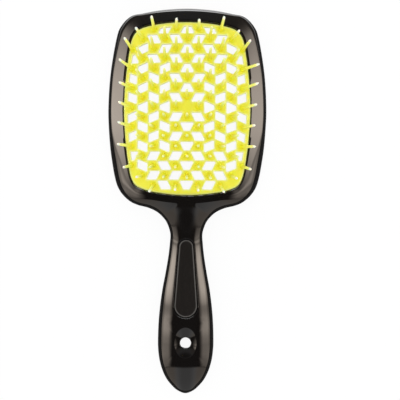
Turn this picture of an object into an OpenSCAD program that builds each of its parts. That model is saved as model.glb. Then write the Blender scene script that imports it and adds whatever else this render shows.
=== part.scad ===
// Detangling brush with an arched open head, lying on its back with the pins up.
// Millimetres. X is across the head, Y runs from the handle to the head, Z is up.
// The origin is the middle of the brush on the surface that it rests on.

/* [Head outline] */
// Width of the head at its widest line
head_w = 89.6; // [86:0.2:94]
// Length of the head above its widest line
crown_l = 54.7; // [52:0.1:60]
// Length from the widest line down to the narrowest of the neck
shoulder_l = 69.9; // [67:0.1:78]

/* [Handle outline] */
// Width of the neck at its narrowest
neck_w = 18; // [16:0.1:21]
// Width of the handle at its widest
grip_w = 31.1; // [28:0.1:36]
// Length from the neck to the widest of the handle
swell_l = 58.7; // [54:0.1:66]
// Length from the widest of the handle to its end
tail_l = 30.8; // [26:0.1:34]

/* [Body form] */
// Radius of the head's arch across the brush
arch_r = 88; // [80:1:110]
// Height of the rim's face over the parting surface
rim_rise = 4.2; // [3.8:0.1:5]
// Width over which the rim's outer edge is rounded
rim_edge = 2.6; // [1.8:0.1:3.4]
// Height of the neck's face over the parting surface
neck_rise = 5.8; // [5:0.1:7]
// Height of the handle's face over the parting surface
grip_rise = 8.8; // [7.5:0.1:10]
// Length over which the rim turns into the neck
blend_l = 27; // [24:0.5:30]
// Depth of the flats on which the brush rests
rest_cut = 0.2; // [0.1:0.05:0.4]

/* [Window] */
// Width of the window at its widest line
window_w = 71; // [68:0.2:72]
// Length of the window
window_l = 95.6; // [92:0.1:98]
// Width of the rim at the top of the head
top_rim_w = 7.8; // [7:0.1:11]

/* [Bristle pad] */
// Thickness of the vented plate
plate_t = 2.2; // [1.8:0.1:2.6]
// Depth of the plate's face below the rim's face
plate_set = 0.9; // [0.6:0.1:1.4]
// Width of the flange that the shells trap
flange_w = 2; // [1.4:0.1:2.6]
// Thickness of the flange
flange_t = 1.6; // [1.3:0.1:2]
// Width of the closed border round the vents
border_w = 2.4; // [1.8:0.1:3]
// Distance of the middle cell above the middle of the window
grid_up = 1; // [0:0.1:1.5]
// Pitch of the cells across the brush
pitch_x = 6.15; // [5.8:0.05:6.5]
// Pitch of the cells along the brush
pitch_y = 5.38; // [5.1:0.02:5.6]
// Width of plate left on each side of a vent
vent_land = 0.36; // [0.25:0.01:0.6]
// Sideways lean of a vent's slanted sides
vent_lean = 0.94; // [0.4:0.02:1.2]
// Length of a pin over the plate
pin_l = 18; // [12:0.5:22]
// Radius of the fan that the pins make along the brush
pin_fan_r = 320; // [250:10:500]
// Diameter of a pin at its root
pin_root_d = 1.8; // [1.5:0.05:2.2]
// Diameter of a pin's round tip
pin_tip_d = 1.4; // [1.1:0.05:1.5]

/* [Handle inlay] */
// Length of the inlay
inlay_l = 43.4; // [38:0.2:48]
// Width of the inlay's lower end
inlay_w = 13.4; // [11:0.2:15]
// Width of the inlay's upper end
inlay_tip_w = 8.6; // [7:0.2:9]
// Distance from the neck's narrowest line down to the inlay
inlay_gap = 3; // [1:0.2:5]
// Thickness of the inlay
inlay_t = 1.4; // [1:0.1:2]
// Depth of the inlay's face below the handle's face
inlay_set = 0.5; // [0.3:0.05:0.8]
// Radius of the inlay's face across the handle
inlay_face_r = 24; // [18:1:40]
// Diameter of the inlay's two pegs
inlay_peg_d = 3; // [2.4:0.1:3.6]
// Length of the inlay's pegs
inlay_peg_l = 2.6; // [1.5:0.1:3]

/* [Hang hole] */
// Diameter of the hang hole
hang_d = 6; // [4:0.1:7]
// Distance from the end of the handle to the middle of the hang hole
hang_in = 29.2; // [24:0.2:32]
// Length of the oval dish round the hang hole
dish_l = 18; // [14:0.5:20]
// Depth of the oval dish
dish_depth = 1.05; // [0.8:0.05:1.4]

/* [Fits] */
// Gap round the pad and the inlay in their seats
seat_gap = 0.2; // [0.1:0.05:0.3]
// Diameter of the posts that line up the two shells
post_d = 2.4; // [2:0.1:3]
// Height of the posts over the parting surface
post_l = 2; // [1.4:0.1:2.4]
// Gap round a post or a peg in its socket
post_gap = 0.1; // [0.05:0.05:0.2]

/* [Hidden] */

// Counts: curve steps between outline points, samples of a face and cells from the middle
path_steps = 2;
edge_steps = 5;
face_steps = 7;
cells_x = 5;
cells_y = 8;
arc_steps = 8;
// Cells that each corner of the pad leaves out
corner_cells = 2;

// Half outline of a pin's tip, in shares of its radius from the middle line and down from its end
tip_shares = [[1, 0.9], [0.85, 0.4], [0.5, 0]];

// Lines across the brush
brush_l = crown_l + shoulder_l + swell_l + tail_l;
top_y = brush_l / 2;
wide_y = top_y - crown_l;
neck_y = wide_y - shoulder_l;
grip_y = neck_y - swell_l;
end_y = grip_y - tail_l;
window_top_y = top_y - top_rim_w;
window_end_y = window_top_y - window_l;
pad_y = (window_top_y + window_end_y) / 2 + grid_up;
hang_y = end_y + hang_in;

// Half outline from the top of the head down to the end of the handle.
// Each pair is a share of the half width and a share of the length of its stretch.
crown_shares = [[0, 1], [0.2, 0.994], [0.385, 0.981], [0.565, 0.959], [0.69, 0.945],
    [0.78, 0.899], [0.861, 0.815], [0.887, 0.755], [0.936, 0.565], [0.979, 0.32], [1, 0]];
shoulder_shares = [[0.992, 0.133], [0.963, 0.315], [0.924, 0.448], [0.884, 0.552], [0.835, 0.629],
    [0.753, 0.692], [0.625, 0.748], [0.51, 0.774], [0.34, 0.796], [0.21, 0.827], [0.117, 0.868],
    [0.054, 0.913], [0, 1]];
swell_shares = [[0.038, 0.1], [0.16, 0.222], [0.385, 0.376], [0.64, 0.53], [0.829, 0.684],
    [0.95, 0.838], [1, 1]];
tail_shares = [[0.996, 0.155], [0.945, 0.379], [0.834, 0.579], [0.688, 0.732], [0.516, 0.843],
    [0.293, 0.945], [0, 1]];

// Half outline of the window, point for point beside the rim's outline
window_up_shares = [[0, 1], [0.17, 0.997], [0.34, 0.988], [0.51, 0.973], [0.66, 0.951],
    [0.765, 0.922], [0.835, 0.872], [0.88, 0.805], [0.919, 0.655], [0.972, 0.36], [1, 0]];
window_down_shares = [[0.991, 0.194], [0.962, 0.439], [0.925, 0.633], [0.89, 0.769], [0.846, 0.849],
    [0.79, 0.897], [0.688, 0.932], [0.552, 0.96], [0.382, 0.98], [0.198, 0.995], [0, 1]];

outline_points = concat(
    [for (s = crown_shares) [s.x * head_w / 2, wide_y + s.y * crown_l]],
    [for (s = shoulder_shares) [mix(neck_w, head_w, s.x) / 2, wide_y - s.y * shoulder_l]],
    [for (s = swell_shares) [mix(neck_w, grip_w, s.x) / 2, neck_y - s.y * swell_l]],
    [for (s = tail_shares) [s.x * grip_w / 2, grip_y - s.y * tail_l]]);

// Window outline grown on every side by a given amount
function window_points(grow) = concat(
    [for (s = window_up_shares)
        [s.x * (window_w / 2 + grow), wide_y + s.y * (window_top_y - wide_y + grow)]],
    [for (s = window_down_shares)
        [s.x * (window_w / 2 + grow), wide_y - s.y * (wide_y - window_end_y + grow)]]);

function mix(a, b, t) = a + (b - a) * t;
function ease(t) = t <= 0 ? 0 : t >= 1 ? 1 : t * t * (3 - 2 * t);
function flip(p) = [-p.x, p.y];

// Smooth curve through points that starts and ends on the middle line
function knot(points, i) =
    i < 0 ? flip(points[1]) : i >= len(points) ? flip(points[len(points) - 2]) : points[i];
function curve(a, b, c, d, t) =
    (2 * b + (c - a) * t + (2 * a - 5 * b + 4 * c - d) * t * t + (3 * b - a - 3 * c + d) * t * t * t) / 2;
function smooth(points) = concat(
    [for (i = [0 : len(points) - 2], k = [0 : path_steps - 1])
        curve(knot(points, i - 1), points[i], points[i + 1], knot(points, i + 2), k / path_steps)],
    [points[len(points) - 1]]);
function both_sides(half) = concat(half, [for (i = [len(half) - 2 : -1 : 1]) flip(half[i])]);

outer = smooth(outline_points);
window_edge = smooth(window_points(0));
last_row = len(outer) - 1;
window_rows = len(window_edge) - 1;
// Row where the handle's stations lie straight across the brush
straight_row = (len(crown_shares) + len(shoulder_shares)) * path_steps;

// Inner end of a row: on the window's edge, then down the middle line
function spread(k) = 1 - pow(1 - (k - window_rows) / (straight_row - window_rows), 2);
function inner(k) =
    k <= window_rows ? window_edge[k]
    : k >= straight_row ? [0, outer[k].y]
    : [0, mix(window_end_y, outer[k].y, spread(k))];

// Fall of the arched head from its crown, and the body's parting surface
function arch_drop(x) = arch_r - sqrt(arch_r * arch_r - x * x);
crown_z = rim_rise + max([for (k = [0 : window_rows]) arch_drop(sample(k, rim_edge).x)]) - rest_cut;
grip_z = grip_rise - rest_cut;
function blend(y) = ease((window_end_y - y) / blend_l);
function parting(p) = mix(crown_z - arch_drop(p.x), grip_z, blend(p.y));

// Rise of the face along a row: a round edge, then level to the row's inner end
function span(k) = norm(outer[k] - inner(k));
function sample(k, d) = mix(outer[k], inner(k), d / max(span(k), rim_edge));
function row_edge(k) = mix(rim_edge, span(k), blend(outer[k].y));
tail_round_share = 0.75;
function row_rise(k) =
    outer[k].y > neck_y ? mix(rim_rise, neck_rise, blend(outer[k].y))
    : outer[k].y > grip_y ? mix(neck_rise, grip_rise, ease((neck_y - outer[k].y) / swell_l))
    : grip_rise * pow(2 * outer[k].x / grip_w, tail_round_share);
function round_edge(q) = q >= 1 ? 1 : sqrt(1 - (1 - q) * (1 - q));
edge_reach_share = 0.86;
function reach(k) = min(row_edge(k), edge_reach_share * span(k));
function face_dist(k, j) =
    j <= edge_steps ? reach(k) * (1 - cos(90 * j / edge_steps))
    : mix(reach(k), span(k), (j - edge_steps) / (face_steps - edge_steps));
function face_point(k, j, side) =
    let (d = face_dist(k, j), p = mix(outer[k], inner(k), d / span(k)))
    [p.x, p.y, parting(p) + side * row_rise(k) * round_edge(d / row_edge(k))];
function parting_point(k, t) = let (p = mix(inner(k), outer[k], t)) [p.x, p.y, parting(p)];

// One row of the right half: the face from the rim inwards, then back along the parting surface
function row(k, side) = concat([for (j = [0 : face_steps]) face_point(k, j, side)],
    [parting_point(k, 0), parting_point(k, 1 / 2)]);
row_size = face_steps + 3;
half_size = last_row * row_size + 1;
function body_points(side) = concat(
    [for (k = [0 : last_row - 1]) each row(k, side)],
    [[outer[last_row].x, outer[last_row].y, grip_z]]);
function on_axis(k, j) =
    k == 0 || k == last_row || (k >= window_rows && (j == face_steps || j == face_steps + 1));
function vertex(k, j, left) =
    (k == last_row ? last_row * row_size : k * row_size + j % row_size)
    + (left && !on_axis(k, j % row_size) ? half_size : 0);
function quad(k, j, left) =
    [vertex(k, j, left), vertex(k + 1, j, left), vertex(k + 1, j + 1, left), vertex(k, j + 1, left)];
function triangles(q) = [for (t = [[q[0], q[1], q[2]], [q[0], q[2], q[3]]])
    if (t[0] != t[1] && t[1] != t[2] && t[0] != t[2]) t];
function turned(t, turn) = turn ? [t[2], t[1], t[0]] : t;
function body_faces(side) = [for (left = [false, true], k = [0 : last_row - 1], j = [0 : row_size - 1])
    if (j != face_steps || k < window_rows)
        each [for (t = triangles(quad(k, j, left))) turned(t, left == (side > 0))]];

// Half of the body on one side of the parting surface, 1 for the front and -1 for the back
module body_half(side) {
    half = body_points(side);
    polyhedron(concat(half, [for (p = half) [-p.x, p.y, p.z]]), body_faces(side));
}

// Solid under the head's arch, raised by a given amount
module under_arch(raise) {
    translate([0, window_end_y - flange_w - blend_l, crown_z - arch_r])
        rotate([-90, 0, 0])
            cylinder(h = brush_l, r = arch_r + raise, $fn = 360);
}

module window_shape(grow) {
    polygon(both_sides(smooth(window_points(grow))));
}

// Places of the posts: on the rim, in the neck and in the handle
post_share = 0.4;
post_rows = [8, 12, 16];
rim_posts = [for (n = post_rows, s = [-1, 1])
    let (k = n * path_steps, p = mix(outer[k], inner(k), post_share)) [s * p.x, p.y]];
middle_posts = [[0, mix(top_y, window_top_y, post_share)], [0, (window_end_y + neck_y) / 2],
    [0, mix(neck_y, grip_y, post_share)], [0, (hang_y + end_y) / 2]];
posts = concat(rim_posts, middle_posts);

module post_set(grow) {
    for (p = posts)
        translate([p.x, p.y, parting(p) - post_l])
            cylinder(h = 2 * post_l + grow, d = post_d + 2 * grow, $fn = 24);
}

// Inlay: a tapered slot in plan, between two leaning round faces
inlay_tip_y = neck_y - inlay_gap - inlay_tip_w / 2;
inlay_end_y = neck_y - inlay_gap - inlay_l + inlay_w / 2;
inlay_run = inlay_tip_y - inlay_end_y;
inlay_lean = asin((inlay_w - inlay_tip_w) / 2 / inlay_run);
function handle_top(y) = grip_z + mix(neck_rise, grip_rise, ease((neck_y - y) / swell_l));
inlay_pitch = atan((handle_top(inlay_end_y) - handle_top(inlay_tip_y)) / inlay_run);

module inlay_shape(grow) {
    tip_r = inlay_tip_w / 2 + grow;
    end_r = inlay_w / 2 + grow;
    polygon(both_sides(concat(
        [for (n = [arc_steps : -1 : 0]) let (a = mix(inlay_lean, 90, n / arc_steps))
            [tip_r * cos(a), inlay_tip_y + tip_r * sin(a)]],
        [for (n = [0 : arc_steps]) let (a = mix(inlay_lean, -90, n / arc_steps))
            [end_r * cos(a), inlay_end_y + end_r * sin(a)]])));
}

// Solid under the inlay's face, lowered by a given amount
module under_inlay_face(lower) {
    translate([0, inlay_end_y, handle_top(inlay_end_y) - inlay_set - inlay_face_r])
        rotate([-90 - inlay_pitch, 0, 0])
            translate([0, 0, -inlay_w])
                cylinder(h = inlay_l + inlay_w, r = inlay_face_r - lower, $fn = 120);
}

module inlay_pegs(grow) {
    for (y = [inlay_tip_y, inlay_end_y])
        translate([0, y, handle_top(y) - inlay_set - inlay_t - inlay_peg_l - grow])
            cylinder(h = inlay_peg_l + inlay_t / 2 + grow, d = inlay_peg_d + 2 * grow, $fn = 32);
}

module inlay_seat() {
    difference() {
        linear_extrude(2 * handle_top(grip_y)) inlay_shape(seat_gap);
        under_inlay_face(inlay_t);
    }
    inlay_pegs(post_gap);
}

// Dish round the hang hole: a shallow ball cut, oval because the handle is round across
dish_r = pow(dish_l / 2, 2) / 2 / dish_depth;

module dish(side) {
    translate([0, hang_y, grip_z + side * (grip_rise - dish_depth + dish_r)])
        sphere(r = dish_r, $fn = 120);
}

module hang_hole() {
    translate([0, hang_y, -rest_cut])
        cylinder(h = 2 * (grip_z + grip_rise), d = hang_d, $fn = 64);
}

module front_shell() color([0.06, 0.055, 0.055]) {
    difference() {
        body_half(1);
        intersection() {
            under_arch(flange_t + seat_gap);
            linear_extrude(2 * crown_z) window_shape(flange_w);
        }
        post_set(post_gap);
        inlay_seat();
        dish(1);
        hang_hole();
    }
}

module back_shell() color([0.08, 0.075, 0.075]) {
    difference() {
        union() {
            body_half(-1);
            post_set(0);
        }
        translate([-head_w, -brush_l, -crown_z]) cube([2 * head_w, 2 * brush_l, crown_z]);
        dish(-1);
        hang_hole();
    }
}

// Vents: every other cell, with one pair of sides leaning in turn to the left and right
function is_vent(i, j) = (abs(i) + abs(j)) % 2 == 0 && !(i == 0 && j == 0) && in_pad(i, j);
function is_pin(i, j) = (abs(i) + abs(j)) % 2 == 1 && in_pad(i, j);
function in_pad(i, j) = abs(i) + abs(j) <= cells_x + cells_y - corner_cells;
function leans_across(i, j) =
    abs(i) <= 1 || (abs(i) == 2 && abs(j) >= 6) || ((abs(i) == 3 || abs(i) == 5) && abs(j) >= 5);
// Lean at half cell h on the side of the cell's corner: outward on every other line
function lean(side, h) = sign(side) * ((abs(h) - 0.5) % 2 == 1 ? 1 : -1) * vent_lean;
function vent_corner(i, j, u, v) =
    let (a = i + u / 2, b = j + v / 2, across = leans_across(i, j))
    [a * pitch_x - u * vent_land + (across ? lean(a, b) : 0),
     pad_y + b * pitch_y - v * vent_land + (across ? 0 : lean(b, a))];

module vents() {
    intersection() {
        window_shape(-border_w);
        for (i = [-cells_x : cells_x], j = [-cells_y : cells_y])
            if (is_vent(i, j))
                polygon([for (c = [[-1, -1], [1, -1], [1, 1], [-1, 1]]) vent_corner(i, j, c.x, c.y)]);
    }
}

face_raise = rim_rise - plate_set;
module plate_sheet() {
    intersection() {
        difference() {
            under_arch(face_raise);
            under_arch(face_raise - plate_t);
        }
        linear_extrude(2 * crown_z)
            difference() {
                window_shape(-seat_gap);
                vents();
            }
    }
}

module plate_flange() {
    intersection() {
        difference() {
            under_arch(flange_t);
            under_arch(0);
        }
        linear_extrude(2 * crown_z)
            difference() {
                window_shape(flange_w - seat_gap);
                window_shape(-border_w);
            }
    }
}

// Pin with a rounded tip, standing on the origin with its root sunk a little
module pin() {
    tip_r = pin_tip_d / 2;
    rotate_extrude($fn = 16)
        polygon(concat(
            [[0, -tip_r], [pin_root_d / 2, -tip_r]],
            [for (s = tip_shares) [s.x * tip_r, pin_l - s.y * tip_r]],
            [[0, pin_l]]));
}

// Pins square to the arch across the head and fanned along it, one on each closed cell
module bristle_pins() color([0.95, 0.92, 0.45]) {
    face_r = arch_r + face_raise;
    difference() {
        for (i = [-cells_x : cells_x], j = [-cells_y : cells_y])
            if (is_pin(i, j))
                let (x = i * pitch_x, y = j * pitch_y)
                    translate([0, pad_y + y, crown_z - arch_r])
                        rotate([0, asin(x / face_r), 0])
                            translate([0, 0, face_r])
                                rotate([-asin(y / pin_fan_r), 0, 0])
                                    pin();
        under_arch(face_raise);
    }
}

module vent_plate() color([0.93, 0.9, 0.25]) {
    plate_sheet();
    plate_flange();
}

module handle_inlay() color([0.14, 0.12, 0.11]) {
    intersection() {
        linear_extrude(2 * handle_top(grip_y)) inlay_shape(0);
        difference() {
            under_inlay_face(0);
            under_inlay_face(inlay_t);
        }
    }
    inlay_pegs(0);
}

front_shell();
back_shell();
vent_plate();
bristle_pins();
handle_inlay();
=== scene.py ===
# %% [markdown]
# # A detangling brush, dressed for its picture
# The packed model brings the brush as five plain solids: two black shells, a vented plate,
# ninety pins and an inlay. This lesson loads them as a fixed frame and puts a finer piece over
# each one. Every piece is worked out in millimetres in the frame of the CAD model, so nothing
# has to be fitted by hand.

# %% Load the packed brush
import math

import bmesh
import bpy
import numpy as np
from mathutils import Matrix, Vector
from mathutils.geometry import delaunay_2d_cdt
from mathutils.kdtree import KDTree


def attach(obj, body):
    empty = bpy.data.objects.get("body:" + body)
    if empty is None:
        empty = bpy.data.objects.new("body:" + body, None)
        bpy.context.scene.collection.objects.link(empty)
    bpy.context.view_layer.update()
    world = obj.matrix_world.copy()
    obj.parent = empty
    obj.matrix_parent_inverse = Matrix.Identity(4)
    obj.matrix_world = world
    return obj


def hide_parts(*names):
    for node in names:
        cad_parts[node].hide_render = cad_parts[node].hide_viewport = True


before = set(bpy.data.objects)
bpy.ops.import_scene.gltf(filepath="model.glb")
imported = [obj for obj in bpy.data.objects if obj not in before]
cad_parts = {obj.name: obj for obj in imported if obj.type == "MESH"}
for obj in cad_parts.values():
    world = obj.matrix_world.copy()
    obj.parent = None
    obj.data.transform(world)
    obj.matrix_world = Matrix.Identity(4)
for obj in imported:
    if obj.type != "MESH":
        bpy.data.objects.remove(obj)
scene = bpy.context.scene
MM = 0.001
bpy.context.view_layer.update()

# %% [markdown]
# ## Camera
# The photograph looks straight down on the brush from about half a metre. The camera stands
# over a point a little to the right of the brush and is turned a fraction of a degree, so no
# lens shift is needed. The lens makes 224.5 mm fill the picture at the height of the handle.

# %% Place the camera
def put_in_scene(name, data):
    """A new object, linked to the scene."""
    made = bpy.data.objects.new(name, data)
    scene.collection.objects.link(made)
    return made


camera = put_in_scene("photo_camera", bpy.data.cameras.new("photo_camera"))
scene.camera = camera
view_height, handle_height = 500 * MM, 8 * MM
picture_w, sensor_w = 224.5 * MM, 36
camera.location = (7.5 * MM, 1.26 * MM, handle_height + view_height)
camera.rotation_euler = (0, 0, math.radians(0.38))
camera.data.sensor_width = sensor_w
camera.data.lens = sensor_w * view_height / picture_w
camera.data.clip_start = 0.02
scene.view_settings.view_transform = "Standard"
print("lens in mm:", round(camera.data.lens, 1))

# %% [markdown]
# ## Node expressions
# A finish is easier to read as a sum than as a list of links. One small class holds a socket
# and turns the operators into Math nodes, and one method makes any other node from its
# settings and its inputs.

# %% Write shader maths as expressions
class Socket:
    def __init__(self, graph, socket):
        self.graph, self.socket = graph, socket

    def math(self, operation, first, second):
        return self.graph.node("ShaderNodeMath", {"operation": operation}, {0: first, 1: second})

    def __add__(self, other):
        return self.math("ADD", self, other)

    def __sub__(self, other):
        return self.math("SUBTRACT", self, other)

    def __rsub__(self, other):
        return self.math("SUBTRACT", other, self)

    def __truediv__(self, other):
        return self.math("DIVIDE", self, other)

    def root(self):
        return self.math("SQRT", self, 0.0)

    def __mul__(self, other):
        return self.math("MULTIPLY", self, other)

    __radd__, __rmul__ = __add__, __mul__


print("a socket now takes + - * / and root")

# %% Write one method for every other node
class Graph:
    """The node tree of a material, of the world or of a modifier."""

    def __init__(self, owner):
        if hasattr(owner, "use_nodes"):
            owner.use_nodes = True
            owner = owner.node_tree
        self.tree = owner
        self.tree.nodes.clear()

    def node(self, kind, settings=None, inputs=None, output=0):
        made = self.tree.nodes.new(kind)
        for name, value in (settings or {}).items():
            if name == "stops":
                stops = made.color_ramp.elements
                for end in (0, -1):
                    stops[end].position, stops[end].color = value[end][0], (*value[end][1], 1)
                for position, colour in value[1:-1]:
                    stops.new(position).color = (*colour, 1)
            else:
                setattr(made, name, value)
        for name, value in (inputs or {}).items():
            if isinstance(value, Socket):
                self.tree.links.new(value.socket, made.inputs[name])
            else:
                made.inputs[name].default_value = value
        return Socket(self, made.outputs[output]) if made.outputs else None

    def noise(self, place, scale, detail):
        return self.node("ShaderNodeTexNoise", {}, {
            "Vector": place, "Scale": scale, "Detail": detail})

    def step(self, value, low, high, bottom, top):
        """A value that goes smoothly from bottom to top between two limits."""
        return self.node("ShaderNodeMapRange", {"interpolation_type": "SMOOTHSTEP"}, {
            "Value": value, "From Min": low, "From Max": high, "To Min": bottom, "To Max": top})

    def attribute(self, name):
        return self.node("ShaderNodeAttribute", {"attribute_name": name}, {}, output="Fac")

    def mix(self, share, first, second):
        """Two colours, mixed by a socket."""
        first, second = (c if isinstance(c, Socket) else (*c, 1) for c in (first, second))
        return self.node("ShaderNodeMix", {"data_type": "RGBA"}, {
            "Factor": share, 6: first, 7: second}, output=2)


print("a graph has", ", ".join(name for name in vars(Graph) if name[0] != "_"))

# %% [markdown]
# ## Floor, tent and lamp
# The photograph was taken in a white tent: bright walls at both sides, a dimmer one below the
# handle, and a dark card overhead round the lens. The black shells show all of this. So the
# world paints that tent for gloss alone, by direction, and lights everything else evenly. One
# soft lamp adds a little shadow. The floor is white for the camera and keeps that shadow, and
# gloss sees it dark beside the brush and light beyond the head.

# %% Lay the floor
floor_half, floor_white = 4, 0.93
corners = [(x * floor_half, y * floor_half, 0) for x, y in ((-1, -1), (1, -1), (1, 1), (-1, 1))]
floor_mesh = bpy.data.meshes.new("floor")
floor_mesh.from_pydata(corners, [], [(0, 1, 2, 3)])
floor = put_in_scene("floor", floor_mesh)

light_path = "ShaderNodeLightPath"
floor_paint = bpy.data.materials.new("white_floor")
paint = Graph(floor_paint)
seen = paint.node(light_path, output="Is Camera Ray")
mirrored = paint.node(light_path, output="Is Glossy Ray")
lit = paint.node("ShaderNodeBsdfDiffuse", {}, {"Color": (*[floor_white] * 3, 1)})
place = paint.node("ShaderNodeTexCoord", output="Object")
beyond = paint.node("ShaderNodeSeparateXYZ", {}, {"Vector": place}, output="Y")
# past the crown the floor is bright for gloss, which draws the light line along the rim
mirrored_light = paint.step(beyond, 0.108, 0.125, 0.08, 2.4)
glow = paint.node("ShaderNodeEmission", {}, {
    "Color": (1, 1, 1, 1), "Strength": seen + mirrored * mirrored_light})
# the rest of the floor's light comes from the lamp and the tent, and so carries the shadow
glow_share = seen * 0.93 + mirrored * 0.97
surface = paint.node("ShaderNodeMixShader", {}, {0: glow_share, 1: lit, 2: glow})
paint.node("ShaderNodeOutputMaterial", {}, {"Surface": surface})
floor_mesh.materials.append(floor_paint)
print("the floor is", 2 * floor_half, "m wide")

# %% Hang the tent
room = bpy.data.worlds.new("tent")
scene.world = room
air = Graph(room)
mirrored = air.node(light_path, output="Is Glossy Ray")
direction = air.node("ShaderNodeTexCoord", output="Generated")
x, y = (air.node("ShaderNodeSeparateXYZ", {}, {"Vector": direction}, output=n) for n in "XY")
aside, back = x.math("ABSOLUTE", x, 0.0), y * -1.0
# the side walls from the handle's end to the head: (direction along the brush, brightness)
wall_tones = [
    (-0.5, 0.0), (-0.494, 1.4), (-0.38, 2.0), (-0.30, 2.6), (-0.20, 2.6), (-0.17, 2.5),
    (-0.15, 2.8), (-0.13, 3.3), (-0.10, 4.6), (-0.08, 5.1), (-0.05, 5.0), (-0.037, 4.6),
    (-0.02, 3.7), (0.0, 3.0), (0.02, 3.2), (0.029, 4.6), (0.038, 5.7), (0.05, 6.9),
    (0.075, 8.8), (0.09, 9.3), (0.12, 8.7), (0.15, 7.2), (0.17, 5.7),
    (0.181, 4.7), (0.1866, 4.2), (0.1886, 0.0)]
top_tone = 10
tone = air.node("ShaderNodeValToRGB", {"stops": [
    (0.5 + at, (value / top_tone,) * 3) for at, value in wall_tones]}, {"Fac": y + 0.5})
# the walls begin beside the card, halve at the horizon, and the left one is a little brighter
sides = air.step(aside, 0.58, 0.80, 0, top_tone) * air.step(aside, 0.94, 1.0, 1, 0.5)
sides = sides * tone * (1 - x * 0.07)
# near is the dim wall below the handle, far the bright one beyond the head, and the card
# overhead is almost black round the lens and lighter in a strip towards the head
near = air.step(back, 0.485, 0.525, 0, 1) * (0.7 + air.step(aside, 0.15, 0.5, 0, 0.4))
far = air.step(y, 0.74, 0.84, 0, 10) * air.step(aside, 0.3, 0.6, 1, 0)
card = air.step(y, 0.1, 0.24, 0.03, 0.28) * air.step(y, 0.36, 0.5, 1, 0.15)
even = 1.0  # what everything but gloss gets from all sides
strength = even + mirrored * (card + sides + near + far - even)
# the walls are lit by warmer lamps than the rest
warmth = mirrored * air.step(aside, 0.3, 0.6, 0, 1)
colour = air.mix(warmth, (1, 1, 1), (1, 0.865, 0.74))
sky = air.node("ShaderNodeBackground", {}, {"Color": colour, "Strength": strength})
air.node("ShaderNodeOutputWorld", {}, {"Surface": sky})
print("tent wall:", len(wall_tones), "tones")

# %% Hang the lamp
lamp_data = bpy.data.lights.new("overhead", "AREA")
lamp_light = 0.55  # how bright a square metre of the lamp is
lamp_data.shape, lamp_data.size = "SQUARE", 1.4
lamp_data.energy = lamp_light * lamp_data.size ** 2 * math.pi
overhead = put_in_scene("overhead", lamp_data)
overhead.location = (0, 0.1, 1.3)
overhead.visible_camera = overhead.visible_glossy = False
print("lamp power in watts:", round(lamp_data.energy, 1))

# %% [markdown]
# ## Outline of the brush
# The body of a moulded brush is drawn in plan first. Half of its outline is a list of points
# from the top of the head to the end of the handle, and half of the window runs beside it.
# A smooth curve through the points gives both edges. The same shares as in the CAD are used,
# with more steps between them, so the shells can be rounder than the solids and still agree.

# %% List the points of the outline and the window
head_w, crown_l, shoulder_l = 89.6, 54.7, 69.9
neck_w, grip_w, swell_l, tail_l = 18.0, 31.1, 58.7, 30.8
window_w, window_l, top_rim_w = 71.0, 95.6, 7.8
top_y = (crown_l + shoulder_l + swell_l + tail_l) / 2
wide_y = top_y - crown_l
neck_y = wide_y - shoulder_l
grip_y = neck_y - swell_l
end_y = grip_y - tail_l
window_top_y = top_y - top_rim_w
window_end_y = window_top_y - window_l

crown_shares = [
    (0, 1), (0.2, 0.994), (0.385, 0.981), (0.565, 0.959), (0.69, 0.945), (0.78, 0.899),
    (0.861, 0.815), (0.887, 0.755), (0.936, 0.565), (0.979, 0.32), (1, 0)]
shoulder_shares = [
    (0.992, 0.133), (0.963, 0.315), (0.924, 0.448), (0.884, 0.552), (0.835, 0.629),
    (0.753, 0.692), (0.625, 0.748), (0.51, 0.774), (0.34, 0.796), (0.21, 0.827),
    (0.117, 0.868), (0.054, 0.913), (0, 1)]
swell_shares = [
    (0.038, 0.1), (0.16, 0.222), (0.385, 0.376), (0.64, 0.53), (0.829, 0.684),
    (0.95, 0.838), (1, 1)]
tail_shares = [
    (0.996, 0.155), (0.945, 0.379), (0.834, 0.579), (0.688, 0.732), (0.516, 0.843),
    (0.293, 0.945), (0, 1)]
window_up_shares = [
    (0, 1), (0.17, 0.997), (0.34, 0.988), (0.51, 0.973), (0.66, 0.951), (0.765, 0.922),
    (0.835, 0.872), (0.88, 0.805), (0.919, 0.655), (0.972, 0.36), (1, 0)]
window_down_shares = [
    (0.991, 0.194), (0.962, 0.439), (0.925, 0.633), (0.89, 0.769), (0.846, 0.849),
    (0.79, 0.897), (0.688, 0.932), (0.552, 0.96), (0.382, 0.98), (0.198, 0.995), (0, 1)]
print("the head is widest at y", round(wide_y, 2), "and the neck at", round(neck_y, 2))

# %% Draw a smooth curve through the points
def mix(a, b, t):
    """A value between a and b, at the share t of the way."""
    return a + (b - a) * t


def ease(t):
    """The share t, clipped to 0 and 1 and soft at both ends."""
    t = np.clip(t, 0, 1)
    return t * t * (3 - 2 * t)


def plan_curve(knots, row):
    """Points of a smooth curve at the given rows. Row 2.5 is midway between knots 2 and 3."""
    knots = np.asarray(knots, float)
    padded = np.vstack([knots[1] * (-1, 1), knots, knots[-2] * (-1, 1)])
    row = np.atleast_1d(np.asarray(row, float))
    first = np.clip(np.floor(row).astype(int), 0, len(knots) - 2)
    a, b, c, d = (padded[first + n] for n in range(4))
    # steps in time go with the root of each distance, so close knots make no kink
    one, two, three = (np.sqrt(np.linalg.norm(q - p, axis=1))[:, None]
                       for p, q in ((a, b), (b, c), (c, d)))
    t = (row - first)[:, None] * two
    ab, bc, cd = mix(a, b, (t + one) / one), mix(b, c, t / two), mix(c, d, (t - two) / three)
    abc, bcd = mix(ab, bc, (t + one) / (one + two)), mix(bc, cd, t / (two + three))
    return mix(abc, bcd, t / two)


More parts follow.
